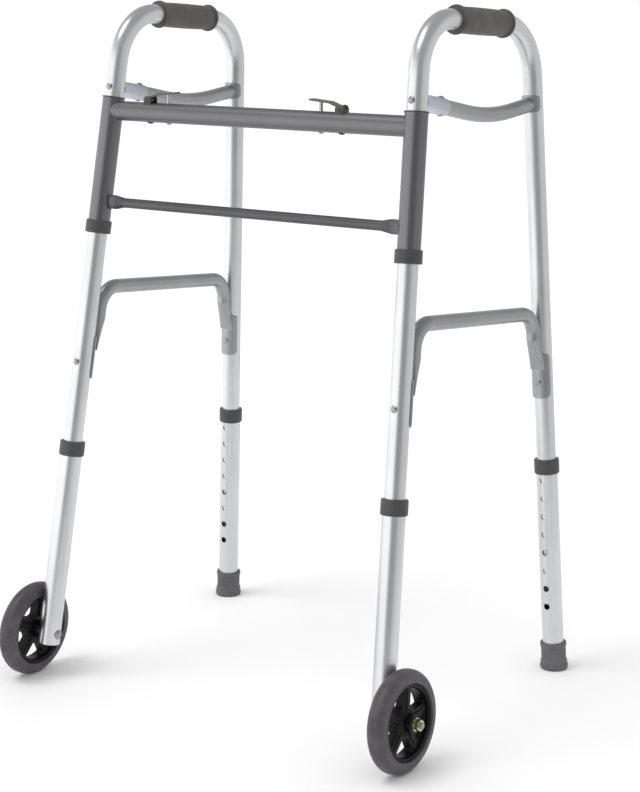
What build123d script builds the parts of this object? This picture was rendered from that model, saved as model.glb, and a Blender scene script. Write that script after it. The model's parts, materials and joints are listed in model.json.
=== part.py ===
"""Front wheeled walker: folding side frames, adjustable legs, two front wheels and two rear tips.

Units are millimetres and +Z is up.  The origin is on the floor under the middle of the walker.
-Y is the way it is walked; +X is the left hand of the person who stands between the side frames.
Each side frame is drawn in its own frame: x outward, y back along the frame, z up the front leg.
"""

import os
from math import cos, radians, sin, sqrt, tan

from build123d import *

# Stance of the legs, given where their axes cross REF_HEIGHT
REF_HEIGHT = 700.0
HINGE_X = 236.6  # half the spacing of the front legs
HINGE_Y = -79.8
FRONT_SPLAY = 0.0476  # outward run of a front leg per millimetre of drop
FRONT_LEAN = 0.1656  # forward run of a front leg per millimetre of drop
SIDE_TOE = 0.0263  # outward run of a side frame per millimetre towards the back
LEG_SPREAD = 11.15  # degrees between the front and the rear leg
REAR_LEG_Y = 294.4  # rear leg behind the front leg, along the side frame

# Tube stock, as radii
FRAME_R = 12.7
FRAME_BORE_R = 11.1
EXT_R = 14.3
EXT_BORE_R = 12.78
SLEEVE_BORE_R = 13.1
BAR_R = 9.5
BAR_BORE_R = 8.2
LOWER_BAR_R = 6.35
LOWER_BAR_BORE_R = 5.15
SEAT_GAP = 0.05  # between two parts that are fixed to each other
RUN_GAP = 0.05  # in a running fit
CLEAR_GAP = 0.3  # between two parts that move past each other
REACH = 40.0  # of a cutter past what it cuts
LEG_REACH = 200.0  # of a cutter along the whole sleeve

# Side tube: two legs joined over the top under the hand
TOP_CORNER_Z = 186.4  # sharp corner over the front leg
TOP_BEND_R = 70.0
FRONT_LEG_END_H = 148.0
REAR_LEG_END_H = 130.0

# Hand grip
GRIP_LENGTH = 114.3
GRIP_R = 16.5
GRIP_FLANGE_R = 18.2
GRIP_FLANGE_T = 4.0
GRIP_FLANGE_FILLET = 1.4
GRIP_MIDDLE = 130.0  # from the front corner, along the top

# Side bar and the socket that ties it to the front leg
SIDE_BAR_Z = 87.0
SIDE_BAR_LINE = ((21.0, 87.0), (66.0, 87.0), (163.0, 84.8), (262.0, 111.6))
SIDE_BAR_BENDS = (200.0, 380.0)
SOCKET_R = 10.7
SOCKET_LENGTH = 46.0
SOCKET_FLOOR = 8.0
SOCKET_START = 8.7  # root of the socket, inside the saddle cut
SOCKET_FILLET = 0.8
SOCKET_RIVET_Y = 50.5
SIDE_BAR_REAR_H = 769.0

# Lower brace
BRACE_FRONT_H = 523.7  # sharp corner by the front leg
BRACE_REAR_H = 500.9
BRACE_BEND_R = 31.75
BRACE_CORNER_RISE = 0.16  # of a corner per millimetre it stands in from the leg
BRACE_FRONT_RIVET_H = 428.0
BRACE_REAR_RIVET_H = 403.5
BRACE_FRONT_END_H = 406.0
BRACE_REAR_END_H = 382.0
CRUSH_START = 38.0  # below the sharp corner
CRUSH_DROP = 42.0  # length over which the round tube goes flat
PAD_T = 2.6
PAD_HALF_ANGLE = 66.0
PAD_CORNER_R = 7.0
PAD_OVER_BAR = 1.5  # pad past the bar, above and below
CRUSH_HALF_W = 10.9
CRUSH_HALF_T = 1.43
VENT_R = 1.5

# Rivets
RIVET_R = 2.4
RIVET_HEAD_R = 4.6
RIVET_HEAD_H = 2.1
RIVET_TAIL_R = 3.9
RIVET_TAIL_H = 1.6
RIVET_SKIRT = 0.2  # head below the deepest point of its seat
RIVET_ROOT = 0.7  # shank inside head and tail
FRONT_RIVET_H = 786.8

# Leg extensions and their height setting
HOLE_PITCH = 25.4
HOLE_COUNT = 8
HOLE_R = 4.3
BUTTON_HOLE = 4  # holes above the one the button sits behind
BUTTON_R = 4.0
BUTTON_LENGTH = 7.6
BUTTON_FLANGE_R = 5.2
BUTTON_FLANGE_T = 1.2
BUTTON_NOSE_H = 1.4
BUTTON_FLUSH = 0.02  # nose below the frame tube
COLLAR_R = 16.8
COLLAR_H = 20.0
COLLAR_LIP = 6.0
COLLAR_FILLET = 2.0
FRONT_COLLAR_H = 312.5
REAR_COLLAR_H = 286.5
FRONT_TOP_HOLE_H = 291.0
REAR_TOP_HOLE_H = 268.9
FRONT_EXT_END_H = 47.8

# Rubber tip
TIP_TOP_H = 38.0
TIP_TOP_R = 17.6
TIP_SOLE_R = 19.2
TIP_SOLE_T = 8.0
TIP_FOOT_H = 9.0  # of the wide foot
TIP_SHOULDER_H = 13.0
TIP_BAND_H = 5.0
TIP_BAND_T = 0.6
TIP_SEAT = 1.5  # tube end above the sole

# Wheel, drawn on its own axis
WHEEL_R = 63.5
TYRE_WIDTH = 24.0
TYRE_TREAD_FILLET = 8.5
TYRE_FOOT_FILLET = 2.0
RIM_R = 47.5
RIM_BORE_R = 43.2
RIM_WIDTH = 20.0
WEB_T = 12.0
WEB_RIM_W = 1.6  # of the web inside the rim
SPOKES = 5
SPOKE_W = 13.0
WINDOW_IN_R = 20.0
WINDOW_FILLET = 2.6
BOSS_ROOT_R = 17.0
BOSS_ROOT_H = 4.0
BOSS_R = 12.0
BOSS_IN = 11.7  # boss from the wheel's middle towards the leg
BOSS_OUT = 18.5  # and away from it
BUSH_R = 6.2
WHEEL_OFFSET = 28.0  # wheel centre outward of the leg axis
AXLE_H = 62.16  # height of the axle where it crosses the leg axis
AXLE_R = 4.0
AXLE_HEAD_R = 6.6
AXLE_HEAD_H = 2.8
AXLE_CHAMFER = 0.8
NUT_R = 7.5
NUT_H = 6.8
NUT_TAPER = 0.97  # of its corners, where the chamfer starts
WASHER_R = 8.2
WASHER_T = 1.6
SPACER_ROOT = 3.2  # spacer inside the outer face of the leg
AXLE_OUT = 58.0  # end of the bolt, outward of the leg axis

# Front frame
SLEEVE_R = 14.3
SLEEVE_TOP_H = 773.0
SLEEVE_END_H = 606.0
CAP_TOP_H = 614.5
CAP_END_H = 597.8
CAP_R = 16.9
CAP_FILLET = 1.2
WASHER_RING_T = 1.5
WASHER_RING_R = 15.2
UPPER_BAR_H = 757.0
LOWER_BAR_H = 639.4
LOWER_BAR_PAD_LENGTH = 26.0  # from the leg axis to the end of the flat
LOWER_BAR_CRUSH = 14.0
LOWER_BAR_PAD_HALF_H = 9.2
LOWER_BAR_PAD_HALF_T = 3.0
LOWER_BAR_END_GAP = 4.0  # flat end short of the leg axis

# Fold lock: release lever, lock plunger and what holds them, along X from the lever's pivot
LEFT_PIVOT_X = 129.0
RIGHT_PIVOT_X = 169.0
PIVOT_RISE = 15.8  # pivot above the axis of the upper crossbar
PIVOT_PIN_R = 1.6
LEVER_BARREL_R = 3.2
LEVER_W = 11.0
LEVER_T = 2.4
LEVER_REST_Z = 9.4  # lever over its pivot, where it lies on the rest
LEVER_LINE = ((0.0, 2.6), (-16.0, 8.2), (-30.0, LEVER_REST_Z), (-44.0, 10.6))
LEVER_TOE_W = 6.0
LEVER_TOE_T = 3.0
LEVER_TOE_DROP = 19.0
LEVER_SLOT_GAP = 1.2
SLOT_H = 20.0
BRACKET_T = 1.6
BRACKET_L = 11.0
EAR_FOOT_H = 8.0
BRIDGE_H = 5.0
BRIDGE_Z = 13.7
PIN_END = 1.0  # pivot pin past the ears
REST_X = -30.4
REST_R = 2.4
REST_HEAD_R = 3.6
REST_HEAD_H = 2.6
PLUNGER_R = 4.5
PLUNGER_NOTCH = 8.8
PLUNGER_NOTCH_DROP = 3.7  # depth of the notch below the plunger's axis
PLUNGER_TAIL = 11.0
PLUNGER_FILLET = 1.0
LEG_TILT = 2.7  # degrees from upright to a front leg, across the walker
HOUSING_R = 11.0
HOUSING_IN = 17.0
HOUSING_OUT = 19.0
HOUSING_SLOT_IN = 15.0
HOUSING_SLOT_OUT = 6.5
LOCK_HOLE_R = 5.0


# Frames: the side frame's own axes, then the axes of its two legs
LEG_UP = Vector(-FRONT_SPLAY, FRONT_LEAN, 1)
SIDE_BACK = Vector(SIDE_TOE, 1, 0)
SIDE = Plane((HINGE_X, HINGE_Y, REF_HEIGHT), x_dir=SIDE_BACK.cross(LEG_UP), z_dir=LEG_UP).location
REAR_IN_SIDE = Location((0, REAR_LEG_Y, 0), (LEG_SPREAD, 0, 0))
FRONT = SIDE
REAR = SIDE * REAR_IN_SIDE


def up_leg(leg, height):
    """Return how far up a leg's axis a height above the floor lies."""
    return (height - leg.position.Z) / Plane(leg).z_dir.Z


FRONT_BUTTON_Z = up_leg(FRONT, FRONT_TOP_HOLE_H) - BUTTON_HOLE * HOLE_PITCH
REAR_BUTTON_Z = up_leg(REAR, REAR_TOP_HOLE_H) - BUTTON_HOLE * HOLE_PITCH
AXLE_Z = up_leg(FRONT, AXLE_H)
UPPER_BAR_Y = HINGE_Y + FRONT_LEAN * (UPPER_BAR_H - REF_HEIGHT)
LOWER_BAR_Y = HINGE_Y + FRONT_LEAN * (LOWER_BAR_H - REF_HEIGHT)


def rod(radius, bottom, top):
    """Round bar on Z between two levels."""
    return Pos(0, 0, (bottom + top) / 2) * Cylinder(radius, top - bottom)


def ring(outer, inner, bottom, top):
    """Round sleeve on Z between two levels."""
    return rod(outer, bottom, top) - rod(inner, bottom - REACH, top + REACH)


def cross_rod(radius, start, end, level):
    """Round bar along Y between two distances, at one level on Z."""
    return Pos(0, 0, level) * Rot(-90, 0, 0) * rod(radius, start, end)


def bent_tube(path, outer, inner):
    """Round tube along a path."""
    return sweep((path ^ 0) * (Circle(outer) - Circle(inner)), path=path)


def dome(radius, height, skirt=0.0):
    """Domed head over the plane z = 0, with a straight skirt below it."""
    ball = (radius**2 + height**2) / (2 * height)
    middle = (radius / 2, height - ball + sqrt(ball**2 - radius**2 / 4))
    outline = Line((0, -skirt), (radius, -skirt)) if skirt else Line((0, 0), (radius, 0))
    if skirt:
        outline += Line((radius, -skirt), (radius, 0))
    outline += ThreePointArc((radius, 0), middle, (0, height)) + Line((0, height), (0, -skirt))
    return revolve(Rot(90, 0, 0) * make_face(outline), Axis.Z)


def seated_head(radius, height, seat):
    """Domed head towards +Y that follows the round surface of radius seat."""
    depth = seat - sqrt(seat**2 - radius**2)
    head = dome(radius, height, skirt=depth + RIVET_SKIRT)
    return Pos(0, seat, 0) * Rot(-90, 0, 0) * head - rod(seat + SEAT_GAP, -REACH, REACH)


def leg_rivet(level, front_seat, back_seat, flat_back=False):
    """Rivet across a leg along Y, its head in front and its tail behind."""
    head = Rot(0, 0, 180) * seated_head(RIVET_HEAD_R, RIVET_HEAD_H, front_seat)
    if flat_back:
        tail = Pos(0, back_seat + SEAT_GAP, 0) * Rot(-90, 0, 0) * dome(RIVET_TAIL_R, RIVET_TAIL_H)
    else:
        tail = seated_head(RIVET_TAIL_R, RIVET_TAIL_H, back_seat)
    shank = cross_rod(RIVET_R, -front_seat - RIVET_ROOT, back_seat + RIVET_ROOT, 0)
    return Pos(0, 0, level) * (head + shank + tail)


def rivet_hole(level):
    """Cutter for the shank of a leg rivet."""
    return cross_rod(RIVET_R + SEAT_GAP, -REACH, REACH, level)


def pad(bottom, top):
    """Saddle on the +Y side of a leg, between two levels."""
    band = ring(FRAME_R + SEAT_GAP + PAD_T, FRAME_R + SEAT_GAP, bottom, top)
    half = REACH * tan(radians(PAD_HALF_ANGLE))
    wedge = extrude(Polygon((0, 0), (half, REACH), (-half, REACH), align=None), amount=top - bottom)
    width = 2 * (FRAME_R + PAD_T) * sin(radians(PAD_HALF_ANGLE))
    outline = extrude(RectangleRounded(width, top - bottom, PAD_CORNER_R), amount=REACH)
    outline = Pos(0, 0, (bottom + top) / 2) * Rot(-90, 0, 0) * outline
    return band & (Pos(0, 0, bottom) * wedge) & outline


def crushed_end(start, stand):
    """Brace end on the +Y side of a leg: round at level start, stand away from it, and flat below."""
    mid = FRAME_R + SEAT_GAP + PAD_T / 2
    upper = Pos(0, stand, start) * Circle(BAR_R)
    lower = Pos(0, mid, start - CRUSH_DROP) * Ellipse(CRUSH_HALF_W, CRUSH_HALF_T)
    return loft([upper, lower])


def side_tube():
    """One tube bent into both legs and the top under the hand."""
    rear_foot = REAR_IN_SIDE * Pos(0, 0, up_leg(REAR, REAR_LEG_END_H))
    rise = tan(radians(LEG_SPREAD / 2))
    lean = tan(radians(LEG_SPREAD))
    corner_y = (REAR_LEG_Y - lean * TOP_CORNER_Z) / (1 + lean * rise)
    path = FilletPolyline(
        (0, 0, up_leg(FRONT, FRONT_LEG_END_H)),
        (0, 0, TOP_CORNER_Z),
        (0, corner_y, TOP_CORNER_Z + rise * corner_y),
        rear_foot.position,
        radius=TOP_BEND_R,
    )
    tube = bent_tube(path, FRAME_R, FRAME_BORE_R)
    tube -= rivet_hole(up_leg(FRONT, FRONT_RIVET_H))
    tube -= rivet_hole(up_leg(FRONT, BRACE_FRONT_RIVET_H))
    tube -= cross_rod(BUTTON_R + RUN_GAP, 0, REACH, FRONT_BUTTON_Z)
    tube -= Rot(0, 0, 90) * cross_rod(LOCK_HOLE_R, 0, REACH, up_leg(FRONT, UPPER_BAR_H))
    rear_cuts = rivet_hole(up_leg(REAR, BRACE_REAR_RIVET_H))
    rear_cuts += rivet_hole(up_leg(REAR, SIDE_BAR_REAR_H))
    rear_cuts += cross_rod(BUTTON_R + RUN_GAP, -REACH, 0, REAR_BUTTON_Z)
    return tube - REAR_IN_SIDE * rear_cuts


def grip():
    """Flanged hand grip, drawn on Z and laid along the top of the side tube."""
    half = GRIP_LENGTH / 2
    body = rod(GRIP_R, -half, half)
    for end in (-1, 1):
        body += Pos(0, 0, end * (half - GRIP_FLANGE_T / 2)) * Cylinder(GRIP_FLANGE_R, GRIP_FLANGE_T)
    body = fillet(body.edges().filter_by(GeomType.CIRCLE).group_by(SortBy.RADIUS)[-1], GRIP_FLANGE_FILLET)
    body -= rod(FRAME_R + SEAT_GAP, -half - REACH, half + REACH)
    return Pos(0, 0, TOP_CORNER_Z) * Rot(LEG_SPREAD / 2 - 90, 0, 0) * Pos(0, 0, GRIP_MIDDLE) * body


def bar_socket():
    """Socket that holds the front end of the side bar, saddled on the front leg."""
    level = SIDE_BAR_Z
    end = FRAME_R + SOCKET_LENGTH
    body = cross_rod(SOCKET_R, SOCKET_START, end, level)
    body = fillet(body.edges().group_by(Axis.Y)[-1], SOCKET_FILLET)
    body -= cross_rod(BAR_R + SEAT_GAP, FRAME_R + SOCKET_FLOOR, end + REACH, level)
    body -= rod(FRAME_R + SEAT_GAP, level - REACH, level + REACH)
    body -= rivet_hole(up_leg(FRONT, FRONT_RIVET_H))
    return body - Pos(0, SOCKET_RIVET_Y, level) * rod(RIVET_R + SEAT_GAP, -REACH, REACH)


def side_bar():
    """Bar between the legs at the height of the upper crossbar, dipped in the middle."""
    path = FilletPolyline(*[(0, y, z) for y, z in SIDE_BAR_LINE], radius=SIDE_BAR_BENDS)
    bar = bent_tube(path, BAR_R, BAR_BORE_R)
    level = up_leg(REAR, SIDE_BAR_REAR_H)
    half = BAR_R + PAD_OVER_BAR
    bar += REAR_IN_SIDE * Pos(0, 0, level) * Rot(0, 0, 180) * pad(-half, half)
    bar -= REAR_IN_SIDE * rod(FRAME_R + SEAT_GAP, level - REACH, level + REACH)
    bar -= REAR_IN_SIDE * rivet_hole(level)
    return bar - Pos(0, SOCKET_RIVET_Y, SIDE_BAR_Z) * rod(RIVET_R + SEAT_GAP, -REACH, REACH)


def brace():
    """Inverted U between the legs, its ends crushed flat and saddled on them."""
    stand = FRAME_R + SEAT_GAP + BAR_R
    rise = stand * BRACE_CORNER_RISE
    front_top = BRACE_FRONT_H - CRUSH_START
    rear_top = BRACE_REAR_H - CRUSH_START
    front_start = Pos(0, stand, up_leg(FRONT, front_top))
    front_corner = Pos(0, stand, up_leg(FRONT, BRACE_FRONT_H) + rise)
    rear_corner = REAR_IN_SIDE * Pos(0, -stand, up_leg(REAR, BRACE_REAR_H) - rise)
    rear_start = REAR_IN_SIDE * Pos(0, -stand, up_leg(REAR, rear_top))
    stops = [place.position for place in (front_start, front_corner, rear_corner, rear_start)]
    tube = bent_tube(FilletPolyline(*stops, radius=BRACE_BEND_R), BAR_R, BAR_BORE_R)
    ends = (
        (Location(), FRONT, front_top, BRACE_FRONT_END_H, BRACE_FRONT_RIVET_H),
        (REAR_IN_SIDE * Rot(0, 0, 180), REAR, rear_top, BRACE_REAR_END_H, BRACE_REAR_RIVET_H),
    )
    for place, leg, start_h, end_h, rivet_h in ends:
        start = up_leg(leg, start_h)
        end = up_leg(leg, end_h)
        foot = crushed_end(start, stand)
        foot += pad(end, start - CRUSH_DROP / 2)
        foot -= rod(FRAME_R + SEAT_GAP, end - REACH, start + REACH)
        tube += place * foot
        tube -= place * rivet_hole(up_leg(leg, rivet_h))
    middle = (front_corner.position + rear_corner.position) / 2
    return tube - Pos(middle.X, middle.Y, middle.Z) * rod(VENT_R, -2 * BAR_R, 0)


def side_rivets():
    """All the rivets of one side frame."""
    outer = FRAME_R + SEAT_GAP + PAD_T
    rivets = leg_rivet(up_leg(FRONT, FRONT_RIVET_H), FRAME_R, FRAME_R + SOCKET_FLOOR, flat_back=True)
    rivets += leg_rivet(up_leg(FRONT, BRACE_FRONT_RIVET_H), FRAME_R, outer)
    rivets += REAR_IN_SIDE * leg_rivet(up_leg(REAR, BRACE_REAR_RIVET_H), outer, FRAME_R)
    rivets += REAR_IN_SIDE * Rot(0, 0, 180) * leg_rivet(up_leg(REAR, SIDE_BAR_REAR_H), FRAME_R, outer)
    across = Pos(0, SOCKET_RIVET_Y, SIDE_BAR_Z) * Rot(-90, 0, 0)
    return rivets + across * leg_rivet(0, SOCKET_R, SOCKET_R)


def extension(leg, collar_h, end_h, top_hole_h):
    """Outer tube of a leg with its row of setting holes on the +Y side."""
    top = up_leg(leg, collar_h) + COLLAR_H / 2 - COLLAR_LIP
    tube = ring(EXT_R, EXT_BORE_R, up_leg(leg, end_h), top)
    first = up_leg(leg, top_hole_h)
    for step in range(HOLE_COUNT):
        tube -= cross_rod(HOLE_R, 0, REACH, first - step * HOLE_PITCH)
    return tube


def collar(leg, height):
    """Plastic collar that closes the top of an extension round the frame tube."""
    middle = up_leg(leg, height)
    body = rod(COLLAR_R, -COLLAR_H / 2, COLLAR_H / 2)
    body = fillet(body.edges().filter_by(GeomType.CIRCLE), COLLAR_FILLET)
    body -= rod(EXT_BORE_R, -COLLAR_H, COLLAR_H)
    body -= rod(EXT_R + SEAT_GAP, -COLLAR_H, COLLAR_H / 2 - COLLAR_LIP + SEAT_GAP)
    return Pos(0, 0, middle) * body


def button():
    """Round-nosed snap button along +Y, flush with the frame tube."""
    nose = FRAME_R - BUTTON_FLUSH
    shoulder = nose - BUTTON_NOSE_H
    flange_end = nose - BUTTON_LENGTH
    body = cross_rod(BUTTON_R, flange_end, shoulder, 0)
    body += Pos(0, shoulder, 0) * Rot(-90, 0, 0) * dome(BUTTON_R, BUTTON_NOSE_H)
    return body + cross_rod(BUTTON_FLANGE_R, flange_end, flange_end + BUTTON_FLANGE_T, 0)


def rubber_tip():
    """Rubber tip on the rear leg, its sole flat on the floor."""
    top = up_leg(REAR, TIP_TOP_H)
    floor_z = up_leg(REAR, 0)
    neck_r = TIP_TOP_R - TIP_BAND_T
    sole = Pos(0, 0, floor_z - TIP_SOLE_T) * Circle(TIP_SOLE_R)
    foot = Pos(0, 0, floor_z + TIP_FOOT_H) * Circle(TIP_SOLE_R)
    shoulder = Pos(0, 0, floor_z + TIP_SHOULDER_H) * Circle(neck_r)
    body = loft([sole, foot]) + loft([foot, shoulder]) + rod(neck_r, floor_z + TIP_SHOULDER_H, top)
    body += rod(TIP_TOP_R + TIP_BAND_T, top - TIP_BAND_H, top)
    body = fillet(body.edges().group_by(Axis.Z)[-1], TIP_BAND_T)
    body -= rod(EXT_R + SEAT_GAP, floor_z + TIP_SOLE_T, top + REACH)
    below = Pos(REAR.position.X, REAR.position.Y, -REACH) * Box(LEG_REACH, LEG_REACH, 2 * REACH)
    return REAR * body - below


def tyre():
    """Solid tyre with a rounded tread."""
    slab = Rectangle(WHEEL_R - RIM_R, TYRE_WIDTH)
    tread = fillet(slab.vertices().group_by(Axis.X)[-1], TYRE_TREAD_FILLET)
    outline = fillet(tread.vertices().group_by(Axis.X)[0], TYRE_FOOT_FILLET)
    section = Rot(90, 0, 0) * (Pos((WHEEL_R + RIM_R) / 2, 0) * outline)
    return revolve(section, Axis.Z)


def hub():
    """Wheel centre: rim, windowed web with straight spokes, and boss."""
    body = ring(RIM_R - SEAT_GAP, RIM_BORE_R, -RIM_WIDTH / 2, RIM_WIDTH / 2)
    window = Circle(RIM_BORE_R - WEB_RIM_W) - Circle(WINDOW_IN_R)
    for turn in range(SPOKES):
        window -= Rot(0, 0, 180 + 360 / SPOKES * turn) * Pos(RIM_R / 2, 0) * Rectangle(RIM_R, SPOKE_W)
    window = fillet(window.vertices(), WINDOW_FILLET)
    body += Cylinder(RIM_BORE_R + WEB_RIM_W, WEB_T) - extrude(window, amount=WEB_T, both=True)
    root = Pos(0, 0, WEB_T / 2) * Circle(BOSS_ROOT_R)
    body += loft([root, Pos(0, 0, WEB_T / 2 + BOSS_ROOT_H) * Circle(BOSS_R)])
    body += rod(BOSS_R, -BOSS_IN, BOSS_OUT)
    return body - rod(BUSH_R + SEAT_GAP, -REACH, REACH)


def hexagon(across_corners, bottom, top):
    """Hexagonal prism on Z with rounded corners."""
    prism = Pos(0, 0, bottom) * extrude(RegularPolygon(across_corners, 6), amount=top - bottom)
    taper = rod(across_corners * NUT_TAPER, bottom, top)
    return prism & chamfer(taper.edges().filter_by(GeomType.CIRCLE), AXLE_CHAMFER)


def axle():
    """Wheel bolt along Z, its domed head seated on the inner side of the leg."""
    body = chamfer(rod(AXLE_R, -EXT_R, AXLE_OUT).edges().group_by(Axis.Z)[-1], AXLE_CHAMFER)
    return body + Rot(0, 0, -90) * Rot(-90, 0, 0) * seated_head(AXLE_HEAD_R, AXLE_HEAD_H, EXT_R)


def axle_nut():
    """Washer and lock nut outside the wheel."""
    start = WHEEL_OFFSET + BOSS_OUT + CLEAR_GAP
    body = rod(WASHER_R, start, start + WASHER_T)
    body += hexagon(NUT_R, start + WASHER_T, start + WASHER_T + NUT_H)
    return body - rod(AXLE_R + SEAT_GAP, 0, AXLE_OUT + REACH)


def axle_spacer():
    """Spacer between the leg and the wheel, saddled on the leg."""
    end = WHEEL_OFFSET - BOSS_IN - CLEAR_GAP
    body = ring(WASHER_R, AXLE_R + SEAT_GAP, EXT_R - SPACER_ROOT, end)
    return body - Rot(0, 90, 0) * rod(EXT_R + SEAT_GAP, -REACH, REACH)


def sleeve():
    """Hinge sleeve on the front leg, with the hole for the lock plunger."""
    body = ring(SLEEVE_R, SLEEVE_BORE_R, up_leg(FRONT, SLEEVE_END_H), up_leg(FRONT, SLEEVE_TOP_H))
    body = FRONT * body
    return body - Pos(HINGE_X, UPPER_BAR_Y, UPPER_BAR_H) * Rot(0, -90, 0) * rod(LOCK_HOLE_R, 0, REACH)


def sleeve_cap():
    """Plastic cap under the sleeve that bears on the front leg."""
    bottom = up_leg(FRONT, CAP_END_H)
    top = up_leg(FRONT, CAP_TOP_H)
    body = rod(CAP_R, bottom, top)
    body = fillet(body.edges().filter_by(GeomType.CIRCLE), CAP_FILLET)
    body -= rod(FRAME_R + RUN_GAP, bottom - REACH, top + REACH)
    return body - rod(SLEEVE_R + SEAT_GAP, up_leg(FRONT, SLEEVE_END_H) - SEAT_GAP, top + REACH)


def sleeve_ring():
    """Thin bearing ring on top of the sleeve."""
    start = up_leg(FRONT, SLEEVE_TOP_H) + SEAT_GAP
    return ring(WASHER_RING_R, FRAME_R + RUN_GAP, start, start + WASHER_RING_T)


def both_sides(shape):
    """The shape and its mirror image across the walker."""
    return shape + shape.mirror(Plane.YZ)


def toe_slot():
    """Cutter over a plunger's axis for the slot that the lever's toe moves in."""
    slot = Box(HOUSING_SLOT_IN + HOUSING_SLOT_OUT, LEVER_TOE_W + LEVER_SLOT_GAP, SLOT_H)
    return Pos((HOUSING_SLOT_OUT - HOUSING_SLOT_IN) / 2, 0, SLOT_H / 2) * slot


def upper_crossbar():
    """Tube between the two sleeves, slotted for the levers and drilled for their pins."""
    bar = Pos(0, UPPER_BAR_Y, UPPER_BAR_H) * Rot(0, 90, 0) * ring(FRAME_R, FRAME_BORE_R, -HINGE_X, HINGE_X)
    bar -= both_sides(FRONT * rod(SLEEVE_R + SEAT_GAP, -LEG_REACH, LEG_REACH))
    for flip, pivot in ((1, LEFT_PIVOT_X), (-1, -RIGHT_PIVOT_X)):
        at = Pos(pivot, UPPER_BAR_Y, UPPER_BAR_H)
        bar -= at * Rot(0, 0, 90 - 90 * flip) * toe_slot()
        bar -= at * rod(RIVET_R + SEAT_GAP, -REACH, 0)
        bar -= at * Pos(flip * REST_X, 0, 0) * rod(REST_R + SEAT_GAP, -REACH, REACH)
    return bar


def lower_crossbar():
    """Thin tube between the sleeves, its ends crushed to tall flats."""
    reach = HINGE_X + FRONT_SPLAY * (REF_HEIGHT - LOWER_BAR_H)
    flat = reach - LOWER_BAR_PAD_LENGTH
    round_end = flat - LOWER_BAR_CRUSH
    oval = Ellipse(LOWER_BAR_PAD_HALF_H, LOWER_BAR_PAD_HALF_T)
    end = loft([Pos(0, 0, round_end) * Circle(LOWER_BAR_R), Pos(0, 0, flat) * oval])
    end += Pos(0, 0, flat) * extrude(oval, amount=LOWER_BAR_PAD_LENGTH - LOWER_BAR_END_GAP)
    bar = Rot(0, 90, 0) * ring(LOWER_BAR_R, LOWER_BAR_BORE_R, -round_end, round_end)
    bar += both_sides(Rot(0, 90, 0) * end)
    bar -= Rot(-90, 0, 0) * rod(VENT_R, 0, 2 * LOWER_BAR_R)
    bar = Pos(0, LOWER_BAR_Y, LOWER_BAR_H) * bar
    return bar - both_sides(FRONT * rod(SLEEVE_R + SEAT_GAP, -LEG_REACH, LEG_REACH))


def on_bar(x, shape):
    """Put a shape drawn about a lever's place on the upper crossbar."""
    return Pos(x, UPPER_BAR_Y, UPPER_BAR_H) * shape


def lever():
    """Release lever: bent strip, barrel on the pivot pin, and toe that reaches the plunger."""
    spine = Polyline(*[(x, z) for x, z in LEVER_LINE])
    strip = offset(spine, amount=LEVER_T / 2)
    body = Rot(90, 0, 0) * extrude(make_face(strip), amount=LEVER_W / 2, both=True)
    barrel = Rot(90, 0, 0) * rod(LEVER_BARREL_R, -LEVER_W / 2, LEVER_W / 2)
    toe = Pos(0, 0, -LEVER_TOE_DROP / 2) * Box(LEVER_TOE_T, LEVER_TOE_W, LEVER_TOE_DROP)
    body += barrel + toe
    return Pos(0, 0, PIVOT_RISE) * (body - Rot(90, 0, 0) * rod(PIVOT_PIN_R + RUN_GAP, -REACH, REACH))


def lever_bracket():
    """Two ears on the crossbar, the bridge that joins them and the pivot pin between them."""
    inner = LEVER_W / 2 + CLEAR_GAP
    foot = PIVOT_RISE - EAR_FOOT_H
    ears = Pos((BRACKET_L - BRACKET_T) / 2, 0, BRIDGE_Z) * Box(BRACKET_T, 2 * inner, BRIDGE_H)
    for side in (-1, 1):
        middle = side * (inner + BRACKET_T / 2)
        ears += Pos(0, middle, PIVOT_RISE) * Rot(90, 0, 0) * Cylinder(BRACKET_L / 2, BRACKET_T)
        ears += Pos(0, middle, PIVOT_RISE - foot / 2) * Box(BRACKET_L, BRACKET_T, foot)
    ears -= Rot(0, 90, 0) * rod(FRAME_R + SEAT_GAP, -REACH, REACH)
    pin_half = inner + BRACKET_T + PIN_END
    return ears + Pos(0, 0, PIVOT_RISE) * Rot(90, 0, 0) * rod(PIVOT_PIN_R, -pin_half, pin_half)


def housing():
    """Plunger housing inside the crossbar, slotted for the lever's toe, with its rivet."""
    body = Rot(0, 90, 0) * ring(HOUSING_R, PLUNGER_R + RUN_GAP, -HOUSING_IN, HOUSING_OUT) - toe_slot()
    body += rod(RIVET_R, -FRAME_R - RIVET_ROOT, -PLUNGER_R - RIVET_ROOT)
    return body + Rot(180, 0, 0) * Pos(0, 0, FRAME_R + SEAT_GAP) * dome(RIVET_HEAD_R, RIVET_HEAD_H)


def plunger(reach):
    """Lock plunger along X, notched for the lever's toe; its nose stops just short of the leg."""
    body = Rot(0, 90, 0) * rod(PLUNGER_R, -PLUNGER_TAIL, reach)
    body = fillet(body.edges().group_by(Axis.X)[-1], PLUNGER_FILLET)
    notch = Box(PLUNGER_NOTCH, SLOT_H, SLOT_H)
    return body - Pos(0, 0, SLOT_H / 2 - PLUNGER_NOTCH_DROP) * notch


def lever_rest():
    """Pin through the crossbar that the lever lies on, headed under the bar."""
    top = PIVOT_RISE + LEVER_REST_Z - LEVER_T / 2 - CLEAR_GAP
    head = Rot(180, 0, 0) * Pos(0, 0, FRAME_R + SEAT_GAP) * dome(REST_HEAD_R, REST_HEAD_H)
    return rod(REST_R, -FRAME_R - RIVET_ROOT, top) + head


def mirrored(shape):
    """Mirror image across the walker."""
    return shape.mirror(Plane.YZ)


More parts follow.
